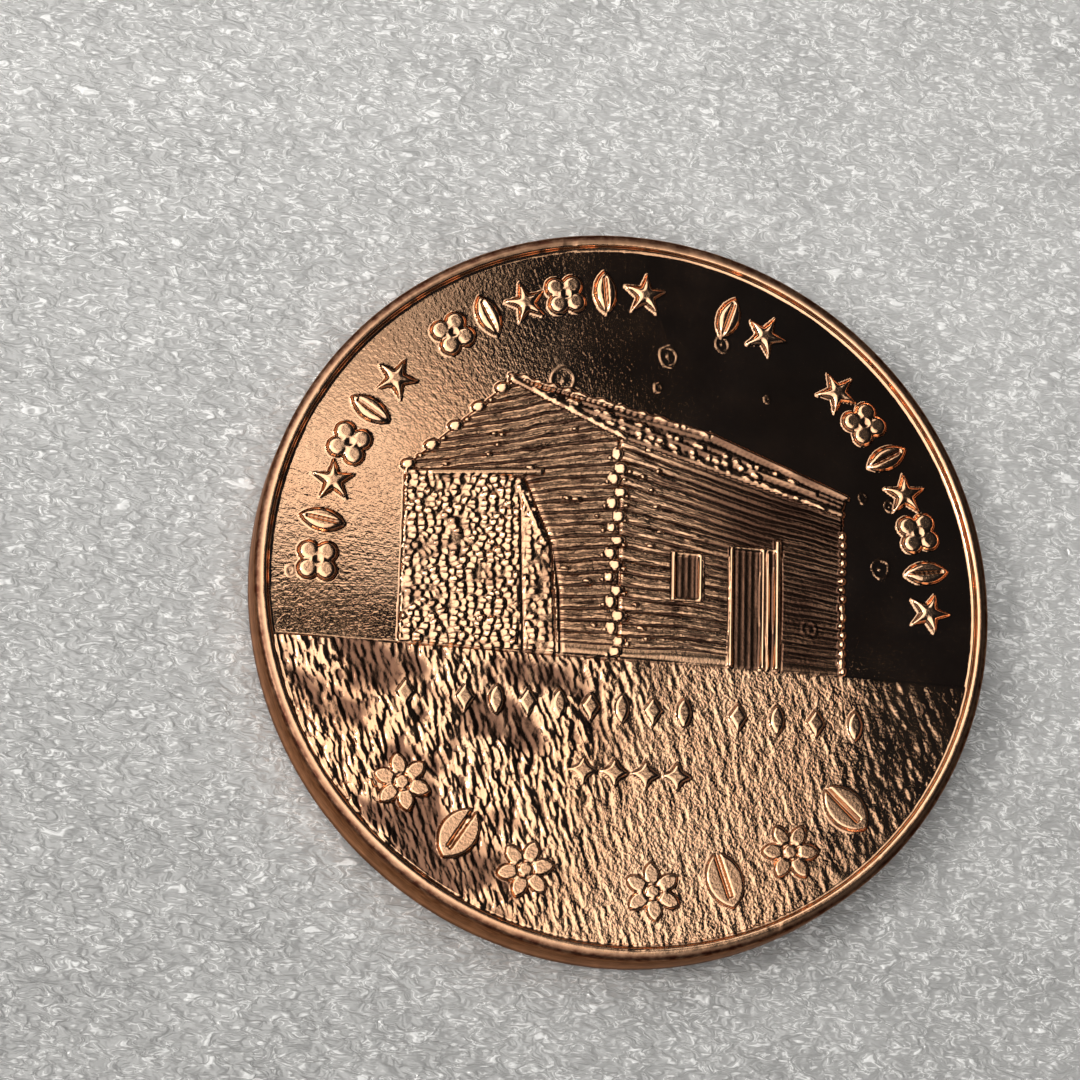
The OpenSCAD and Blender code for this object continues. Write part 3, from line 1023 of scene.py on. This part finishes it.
COPPER_DEEP = (0.88, 0.49, 0.28)
COPPER_PALE = (0.94, 0.57, 0.35)
COPPER_FRECKLE = (0.68, 0.32, 0.19)
# Darkest copper, for real marks and for painted shade on the relief
COPPER_MARKED_AND_SHADED = (0.09, 0.04, 0.027)
# Painted shade in the gaps between logs
COPPER_GAP_SHADE = (0.07, 0.03, 0.02)
# Copper darkened in hollows: painted shade
COPPER_HOLLOW_SHADE = (0.13, 0.06, 0.04)
# Dark brown painted on the rim and edge wall, partly painted shade
COPPER_EDGE_DARK = (0.09, 0.03, 0.018)
COPPER_GLANCING = (0.95, 0.62, 0.45, 1.0)
DULL_ROUGHNESS = (0.4, 0.4, 0.4)
ZINC_DARK = (0.5, 0.52, 0.56)
ZINC_LIGHT = (0.66, 0.68, 0.71)
WHITE = (1.0, 1.0, 1.0)


class Nodes:
    """Short calls for building one material's node tree."""

    def __init__(self, name):
        self.material = bpy.data.materials.new(name)
        self.material.use_nodes = True
        self.tree = self.material.node_tree
        self.shader = self.tree.nodes["Principled BSDF"]
        metres = self.add("TexCoord", {}).outputs["Object"]
        self.place = self.add("VectorMath", {0: metres, "Scale": 1 / MM}, operation="SCALE").outputs[0]

    def add(self, kind, inputs, **settings):
        """A new node. inputs gives what each of its sockets is linked or set to."""
        node = self.tree.nodes.new("ShaderNode" + kind)
        for name, value in settings.items():
            setattr(node, name, value)
        for socket, value in inputs.items():
            self.feed(value, node.inputs[socket])
        return node

    def feed(self, value, target):
        """Links a socket, or sets a number, a vector or a colour."""
        if isinstance(value, bpy.types.NodeSocket):
            self.link(value, target)
        elif isinstance(value, tuple) and target.type == "RGBA":
            target.default_value = (*value, 1.0)
        else:
            target.default_value = value

    def link(self, output, target):
        self.tree.links.new(output, target)

    def stretched(self, sizes):
        """The place in units of sizes, in millimetres along x, y and z."""
        return self.add("VectorMath", {0: self.place, 1: sizes}, operation="DIVIDE").outputs[0]

    def split(self, vector):
        """The X, Y and Z of a vector."""
        node = self.add("SeparateXYZ", {0: vector})
        return node.outputs["X"], node.outputs["Y"], node.outputs["Z"]

    def noise_node(self, vector, detail=2.0, roughness=0.5, distortion=0.0):
        """Noise with features one unit across."""
        inputs = {"Vector": vector, "Scale": 1.0, "Detail": detail}
        return self.add("TexNoise", {**inputs, "Roughness": roughness, "Distortion": distortion})

    def noise(self, sizes, detail=3.0, roughness=0.5, distortion=0.0):
        """Noise with features of these sizes in millimetres."""
        return self.noise_node(self.stretched(sizes), detail, roughness, distortion).outputs["Fac"]

    def fibres_and_glints(self, sizes, warp, profile, share):
        """Scattered long marks. profile shapes one from its middle outwards, share says how many show."""
        bend = self.noise_node(self.stretched(tuple(1.6 * size for size in sizes))).outputs["Color"]
        scaled = self.add("VectorMath", {0: bend, "Scale": warp}, operation="SCALE")
        moved = self.add("VectorMath", {0: self.stretched(sizes), 1: scaled.outputs[0]}, operation="ADD")
        marks = self.add("TexVoronoi", {"Scale": 1.0, "Vector": moved.outputs[0]})
        own = self.add("SeparateColor", {0: marks.outputs["Color"]}).outputs["Red"]
        shown = self.ramp(own, ((share[0], 0.0), (share[1], 1.0)))
        return self.math("MULTIPLY", self.ramp(marks.outputs["Distance"], profile), shown)

    def course_noise(self, course, along, per_course):
        """Streaks along a wall's logs: along is their length in mm, per_course how many cross a log."""
        x, _, _ = self.split(self.place)
        at = {"X": self.math("DIVIDE", x, along), "Y": self.math("MULTIPLY", course, per_course)}
        return self.noise_node(self.add("CombineXYZ", at).outputs[0]).outputs["Fac"]

    def radial_noise(self, across, along):
        """Streaks that run out from the middle: across and along are their sizes in millimetres."""
        x, y, _ = self.split(self.place)
        angle = self.math("ARCTAN2", y, x)
        square = self.math("ADD", self.math("MULTIPLY", x, x), self.math("MULTIPLY", y, y))
        radius = self.math("SQRT", square)
        turned = self.math("MULTIPLY", angle, COIN_RADIUS / across)
        at = {"X": turned, "Y": self.math("DIVIDE", radius, along)}
        return self.noise_node(self.add("CombineXYZ", at).outputs[0], detail=1.0).outputs["Fac"]

    def attribute(self, name):
        """A mark that add_mark() put on the mesh."""
        return self.add("Attribute", {}, attribute_name=name).outputs["Fac"]

    def ramp(self, value, stops):
        """Turns a value into a grey or a colour. Each stop is (position, grey or colour)."""
        node = self.add("ValToRGB", {"Fac": value})
        elements = node.color_ramp.elements
        while len(elements) < len(stops):
            elements.new(0.5)
        for element, (position, colour) in zip(elements, stops):
            element.position = position
            rgb = (colour,) * 3 if isinstance(colour, float) else colour
            element.color = (*rgb, 1.0)
        return node.outputs["Color"]

    def mix(self, fraction, a, b, blend="MIX"):
        """Two colours blended by a fraction."""
        inputs = {"Factor": fraction, "A": a, "B": b}
        return self.add("Mix", inputs, data_type="RGBA", blend_type=blend).outputs["Result"]

    def math(self, operation, a, b=0.0):
        return self.add("Math", {0: a, 1: b}, operation=operation).outputs[0]

    def bump(self, height, distance, under=None):
        """Bumps that are distance millimetres high, on top of those in under."""
        inputs = {"Strength": 1.0, "Distance": distance * MM, "Height": height}
        if under is not None:
            inputs["Normal"] = under
        return self.add("Bump", inputs).outputs["Normal"]


def log_marks(n, course):
    """(streaks, gap, dark stretches): along a log wall's courses. All three are 0 off the walls. The gap is
    a groove in the bump and painted shade between the logs; the dark stretches are painted shade.
    """
    from_crest = n.math("ABSOLUTE", n.math("SUBTRACT", n.math("FRACT", course), 0.5))
    on_wall = n.ramp(course, ((0.9, 0.0), (1.0, 1.0)))
    streaks = n.math("MULTIPLY", n.course_noise(course, 0.5, 4.0), on_wall)
    uneven = n.math("ADD", from_crest, n.math("MULTIPLY", n.math("SUBTRACT", streaks, 0.5), 0.35))
    gap = n.ramp(uneven, ((0.33, 0.0), (0.44, 1.0)))
    # A split runs along the crest of each log.
    split = n.ramp(uneven, ((0.08, 0.7), (0.16, 0.0)))
    gap = n.math("MAXIMUM", gap, n.math("MULTIPLY", split, on_wall))
    # Stretches of each log are painted dark, painted shade, so that it glints only in broken dashes.
    painted_log_shade = n.ramp(n.course_noise(course, 0.75, 1.6), ((0.38, 0.8), (0.5, 0.0)))
    return streaks, gap, n.math("MULTIPLY", painted_log_shade, on_wall)


def copper_colour(n, tarnish, toned, gap, painted_log_shade):
    """Two near coppers in soft patches, darkened by real marks and by painted shade, painted darker brown at
    the edge, and with painted shade in hollows and between logs.
    """
    tone = n.noise((2.4, 2.4, 2.4), detail=4.0)
    colour = n.mix(n.ramp(tone, ((0.3, 0.0), (0.7, 1.0))), COPPER_DEEP, COPPER_PALE)
    fine = n.noise((0.16, 0.16, 0.16), detail=3.0)
    freckles = n.math("MULTIPLY", n.ramp(fine, ((0.45, 0.0), (0.75, 1.0))), 0.25)
    colour = n.mix(freckles, colour, COPPER_FRECKLE)
    # Real marks and painted shade darken the copper
    darkened = n.math("MAXIMUM", n.math("MULTIPLY", tarnish, 0.95), painted_log_shade)
    colour = n.mix(darkened, colour, COPPER_MARKED_AND_SHADED)
    # Painted shade in the gaps between logs and along the crest splits
    colour = n.mix(n.math("MULTIPLY", gap, 0.85), colour, COPPER_GAP_SHADE)
    # Painted shade in hollows
    colour = n.mix(n.attribute("hollow_shade"), colour, COPPER_HOLLOW_SHADE)
    speckle = n.ramp(n.noise((0.3, 0.3, 0.12), detail=4.0, roughness=0.65), ((0.3, 0.7), (0.6, 1.0)))
    # The rim and edge wall are painted dark brown in specks, partly painted shade
    return n.mix(n.math("MULTIPLY", toned, speckle), colour, COPPER_EDGE_DARK)


def copper_material():
    """Bright struck copper: near-mirror field, satin relief, fine grain and an edge painted darker brown."""
    n = Nodes("struck_copper")
    field = n.attribute("polish")
    tarnish = n.attribute("tarnish")
    toned = n.attribute("toned")
    streaks, gap, painted_log_shade = log_marks(n, n.attribute("course"))
    n.link(copper_colour(n, tarnish, toned, gap, painted_log_shade), n.shader.inputs["Base Color"])
    n.shader.inputs["Metallic"].default_value = 1.0

    patch = n.noise((1.1, 1.1, 1.1), detail=3.0)
    field_gloss = n.ramp(patch, ((0.3, 0.05), (0.75, 0.09)))
    relief_gloss = n.ramp(patch, ((0.3, 0.17), (0.75, 0.25)))
    gloss = n.mix(field, relief_gloss, field_gloss)
    gloss = n.mix(n.math("MAXIMUM", n.math("MULTIPLY", tarnish, 0.3), toned), gloss, DULL_ROUGHNESS)
    n.link(gloss, n.shader.inputs["Roughness"])
    n.shader.inputs["Specular Tint"].default_value = COPPER_GLANCING

    bumped = n.bump(n.noise((0.1, 0.1, 0.1), detail=2.0), 0.0028)
    rough = n.math("MULTIPLY", n.noise((0.075, 0.075, 0.075), detail=2.0), n.attribute("grain"))
    bumped = n.bump(rough, 0.022, under=bumped)
    calm = n.math("SUBTRACT", 1.0, n.math("MULTIPLY", tarnish, 0.9))
    bumped = n.bump(n.math("MULTIPLY", n.math("SUBTRACT", streaks, gap), calm), 0.024, under=bumped)
    flow = n.math("MULTIPLY", n.radial_noise(0.06, 1.6), field)
    bumped = n.bump(flow, 0.0007, under=bumped)
    n.link(bumped, n.shader.inputs["Normal"])
    return n.material


def zinc_material():
    """Dull grey zinc with the fine lines of rolled strip."""
    n = Nodes("rolled_zinc")
    tone = n.noise((1.5, 1.5, 1.5), detail=4.0)
    n.link(n.ramp(tone, ((0.3, ZINC_DARK), (0.7, ZINC_LIGHT))), n.shader.inputs["Base Color"])
    n.shader.inputs["Metallic"].default_value = 1.0
    n.link(n.ramp(n.noise((0.4, 0.4, 0.4)), ((0.3, 0.35), (0.7, 0.5))), n.shader.inputs["Roughness"])
    n.link(n.bump(n.noise((0.04, 2.0, 0.5)), 0.004), n.shader.inputs["Normal"])
    return n.material


def foam_material():
    """The pale foam sheet under the coin: grey, with short bright strokes that are painted glints, and
    painted lighter up the sheet and to the right, painted light.
    """
    n = Nodes("foam_sheet")
    swirl = n.noise((0.5, 0.24, 0.5), detail=2.0, roughness=0.5, distortion=1.1)
    edges = n.ramp(swirl, ((0.45, 0.0), (0.48, 1.0), (0.51, 0.0), (0.6, 0.0), (0.65, 1.0)))
    mask = n.ramp(n.noise((0.5, 0.4, 0.5), detail=2.0), ((0.46, 0.0), (0.54, 1.0)))
    dashes = n.fibres_and_glints((0.4, 0.13, 0.4), 0.9, ((0.14, 1.0), (0.36, 0.0)), (0.2, 0.6))
    # Painted glints: the bright strokes are painted white into the colour; the dashes also raise the bump
    glints = n.math("MAXIMUM", n.math("MULTIPLY", edges, mask), dashes)
    cloud = n.ramp(n.noise((3.0, 2.0, 2.0), detail=3.0), ((0.3, 0.47), (0.7, 0.56)))
    x, y, _ = n.split(n.place)
    # Painted light: the sheet is painted lighter up the sheet and to the right
    up = n.math("ADD", n.math("MULTIPLY", y, 1 / 60), n.math("MULTIPLY", x, 1 / 150))
    painted_light_falloff = n.ramp(n.math("ADD", up, 0.5), ((0.2, 0.8), (0.75, 1.2)))
    base = n.mix(glints, cloud, WHITE)
    n.link(n.mix(1.0, base, painted_light_falloff, blend="MULTIPLY"), n.shader.inputs["Base Color"])
    n.shader.inputs["Roughness"].default_value = 0.15
    n.shader.inputs["Specular IOR Level"].default_value = 1.0
    n.shader.inputs["Subsurface Weight"].default_value = 0.5
    n.shader.inputs["Subsurface Radius"].default_value = (1.0, 1.0, 1.0)
    n.shader.inputs["Subsurface Scale"].default_value = 1.5 * MM
    n.link(n.bump(dashes, 0.03, under=n.bump(swirl, 0.13)), n.shader.inputs["Normal"])
    return n.material


# ---- The object ----


# Painted shade in hollows: a point this far under its neighbours is darkened by the share below.
HOLLOW_SHADE_DEPTH = 0.008
HOLLOW_SHADE_SHARE = 0.7


def painted_hollow_shade(vertices, quads):
    """Painted shade in hollows: how much lower each point lies than its neighbours, from 0 to 1."""
    z = vertices[:, 2]
    total = np.zeros(len(z))
    count = np.zeros(len(z))
    for a, b in ((0, 1), (1, 2), (2, 3), (3, 0)):
        for p, q in ((quads[:, a], quads[:, b]), (quads[:, b], quads[:, a])):
            np.add.at(total, p, z[q])
            np.add.at(count, p, 1)
    above = total / np.maximum(count, 1) - z
    above = np.where(z > COIN_THICKNESS / 2, above, -above)
    return np.clip(above / HOLLOW_SHADE_DEPTH, 0, 1) * HOLLOW_SHADE_SHARE


def build_coin():
    """The skin stands for the CAD plating. The core keeps its CAD shape."""
    skin = coin_skin()
    points = np.concatenate(skin.points)
    quads = np.concatenate(skin.quads)
    coin = mesh_object("copper_skin", points, quads, np.concatenate(skin.triangles))
    for name, values in skin.marks.items():
        add_mark(coin, name, np.concatenate(values))
    add_mark(coin, "hollow_shade", painted_hollow_shade(points, quads))
    add_bake_map(coin, points)
    coin.data.materials.append(copper_material())
    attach(coin, BODY)
    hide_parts("copper_plating")

    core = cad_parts["zinc_core"]
    core.data.materials.clear()
    core.data.materials.append(zinc_material())


# ---- Stage, light and camera ----

CEILING = 300.0
WARM = (1.0, 0.98, 0.94)
LAMP_COLOUR = (1.0, 0.97, 0.92)
# Each soft ceiling panel: name, span along x, span along y, and radiance
CEILING_PANELS = (
    ("west_panel", (-400, 12), (-350, 350), 1.9),
    ("gold_panel_near", (12, 50), (90, 106), 1.3),
    ("gold_panel_far", (12, 44), (106, 150), 0.5),
    ("south_west_panel", (12, 50), (-350, 64), 1.3),
    ("south_panel", (50, 80), (-350, 66), 1.2),
    ("north_panel", (12, 72), (170, 350), 1.2),
)
ROOM_COLOUR = (0.008, 0.010, 0.014, 1.0)

CAMERA_DISTANCE = 90.0
CAMERA_AZIMUTH = -37.2
CAMERA_ELEVATION = 70.0
CAMERA_ROLL = 1.3
SENSOR_WIDTH = 36.0
# What the frame takes in at the coin, and how far right of and below its middle the coin sits
FRAME_WIDTH = 27.558
COIN_RIGHT = 2.1077
COIN_BELOW = 1.3932

FLOOR_RADIUS = 450
BACKDROP_RUN = 100
BACKDROP_HEIGHT = 90
FLOOR_DROP = 0.02


def build_floor():
    """A pale sheet that curves up into a low backdrop far from the coin."""
    sides = 96
    section = []
    for a in np.linspace(0, math.pi / 2, 9):
        section.append((FLOOR_RADIUS + BACKDROP_RUN * math.sin(a), BACKDROP_HEIGHT * (1 - math.cos(a))))
    points = [(0.0, 0.0, 0.0)]
    for r, z in section:
        for k in range(sides):
            a = 2 * math.pi * k / sides
            points.append((r * math.cos(a) * MM, r * math.sin(a) * MM, z * MM))
    faces = [(0, 1 + k, 1 + (k + 1) % sides) for k in range(sides)]
    for ring in range(len(section) - 1):
        low, high = 1 + ring * sides, 1 + (ring + 1) * sides
        for k in range(sides):
            after = (k + 1) % sides
            faces.append((low + k, high + k, high + after, low + after))
    mesh = bpy.data.meshes.new("foam_floor")
    mesh.from_pydata(points, [], faces)
    mesh.polygons.foreach_set("use_smooth", [True] * len(faces))
    floor = bpy.data.objects.new("foam_floor", mesh)
    # A hair below the coin, so that no faces share a plane.
    floor.location.z = -FLOOR_DROP * MM
    bpy.context.scene.collection.objects.link(floor)
    mesh.materials.append(foam_material())


def area_light(name, place, target, width, height, watts, colour):
    """A rectangular light at place that faces target."""
    data = bpy.data.lights.new(name, "AREA")
    data.shape = "RECTANGLE"
    data.size = width * MM
    data.size_y = height * MM
    data.energy = watts
    data.color = colour
    light = bpy.data.objects.new(name, data)
    light.location = Vector(place) * MM
    direction = (Vector(target) - Vector(place)).normalized()
    light.rotation_euler = direction.to_track_quat("-Z", "Y").to_euler()
    bpy.context.scene.collection.objects.link(light)


def ceiling_panel(name, x_span, y_span, radiance):
    """A soft light that faces straight down and fills a rectangle of the ceiling."""
    width = x_span[1] - x_span[0]
    depth = y_span[1] - y_span[0]
    x = sum(x_span) / 2
    y = sum(y_span) / 2
    watts = radiance * math.pi * width * depth * MM * MM
    area_light(name, (x, y, CEILING), (x, y, 0), width, depth, watts, WARM)


def build_lights():
    """Soft ceiling panels with a gap over the place that the right half of the coin's field mirrors."""
    for panel in CEILING_PANELS:
        ceiling_panel(*panel)
    area_light("lamp", (-300, 0, CEILING), (0, 0, 0), 60, 60, 0.45, LAMP_COLOUR)
    world = bpy.data.worlds.new("room")
    world.use_nodes = True
    background = world.node_tree.nodes["Background"]
    background.inputs["Color"].default_value = ROOM_COLOUR
    background.inputs["Strength"].default_value = 1.0
    bpy.context.scene.world = world


def build_camera():
    """Looks from the lower left of the picture. The coin sits right of and below the frame's middle."""
    azimuth = math.radians(CAMERA_AZIMUTH)
    elevation = math.radians(CAMERA_ELEVATION)
    back = Vector((
        math.sin(azimuth) * math.cos(elevation),
        -math.cos(azimuth) * math.cos(elevation),
        math.sin(elevation),
    ))
    centre = Vector((0, 0, COIN_THICKNESS / 2))
    forward = -back
    right = forward.cross(Vector((0, 1, 0))).normalized()
    up = right.cross(forward)
    roll = math.radians(CAMERA_ROLL)
    rolled_right = right * math.cos(roll) + up * math.sin(roll)
    rolled_up = up * math.cos(roll) - right * math.sin(roll)

    data = bpy.data.cameras.new("photo_camera")
    data.sensor_width = SENSOR_WIDTH
    data.lens = SENSOR_WIDTH * CAMERA_DISTANCE / FRAME_WIDTH
    data.clip_start = 0.005
    data.clip_end = 10.0
    camera = bpy.data.objects.new("photo_camera", data)
    camera.location = (centre + back * CAMERA_DISTANCE) * MM
    target = centre - rolled_right * COIN_RIGHT + rolled_up * COIN_BELOW
    look = (target - camera.location / MM).normalized()
    side = look.cross(rolled_up).normalized()
    over = side.cross(look)
    camera.rotation_mode = "QUATERNION"
    turn = [[side[k], over[k], -look[k]] for k in range(3)]
    camera.rotation_quaternion = Matrix(turn).to_quaternion()
    bpy.context.scene.collection.objects.link(camera)
    bpy.context.scene.camera = camera


build_coin()
build_floor()
build_lights()
build_camera()
bpy.context.scene.view_settings.view_transform = "Standard"
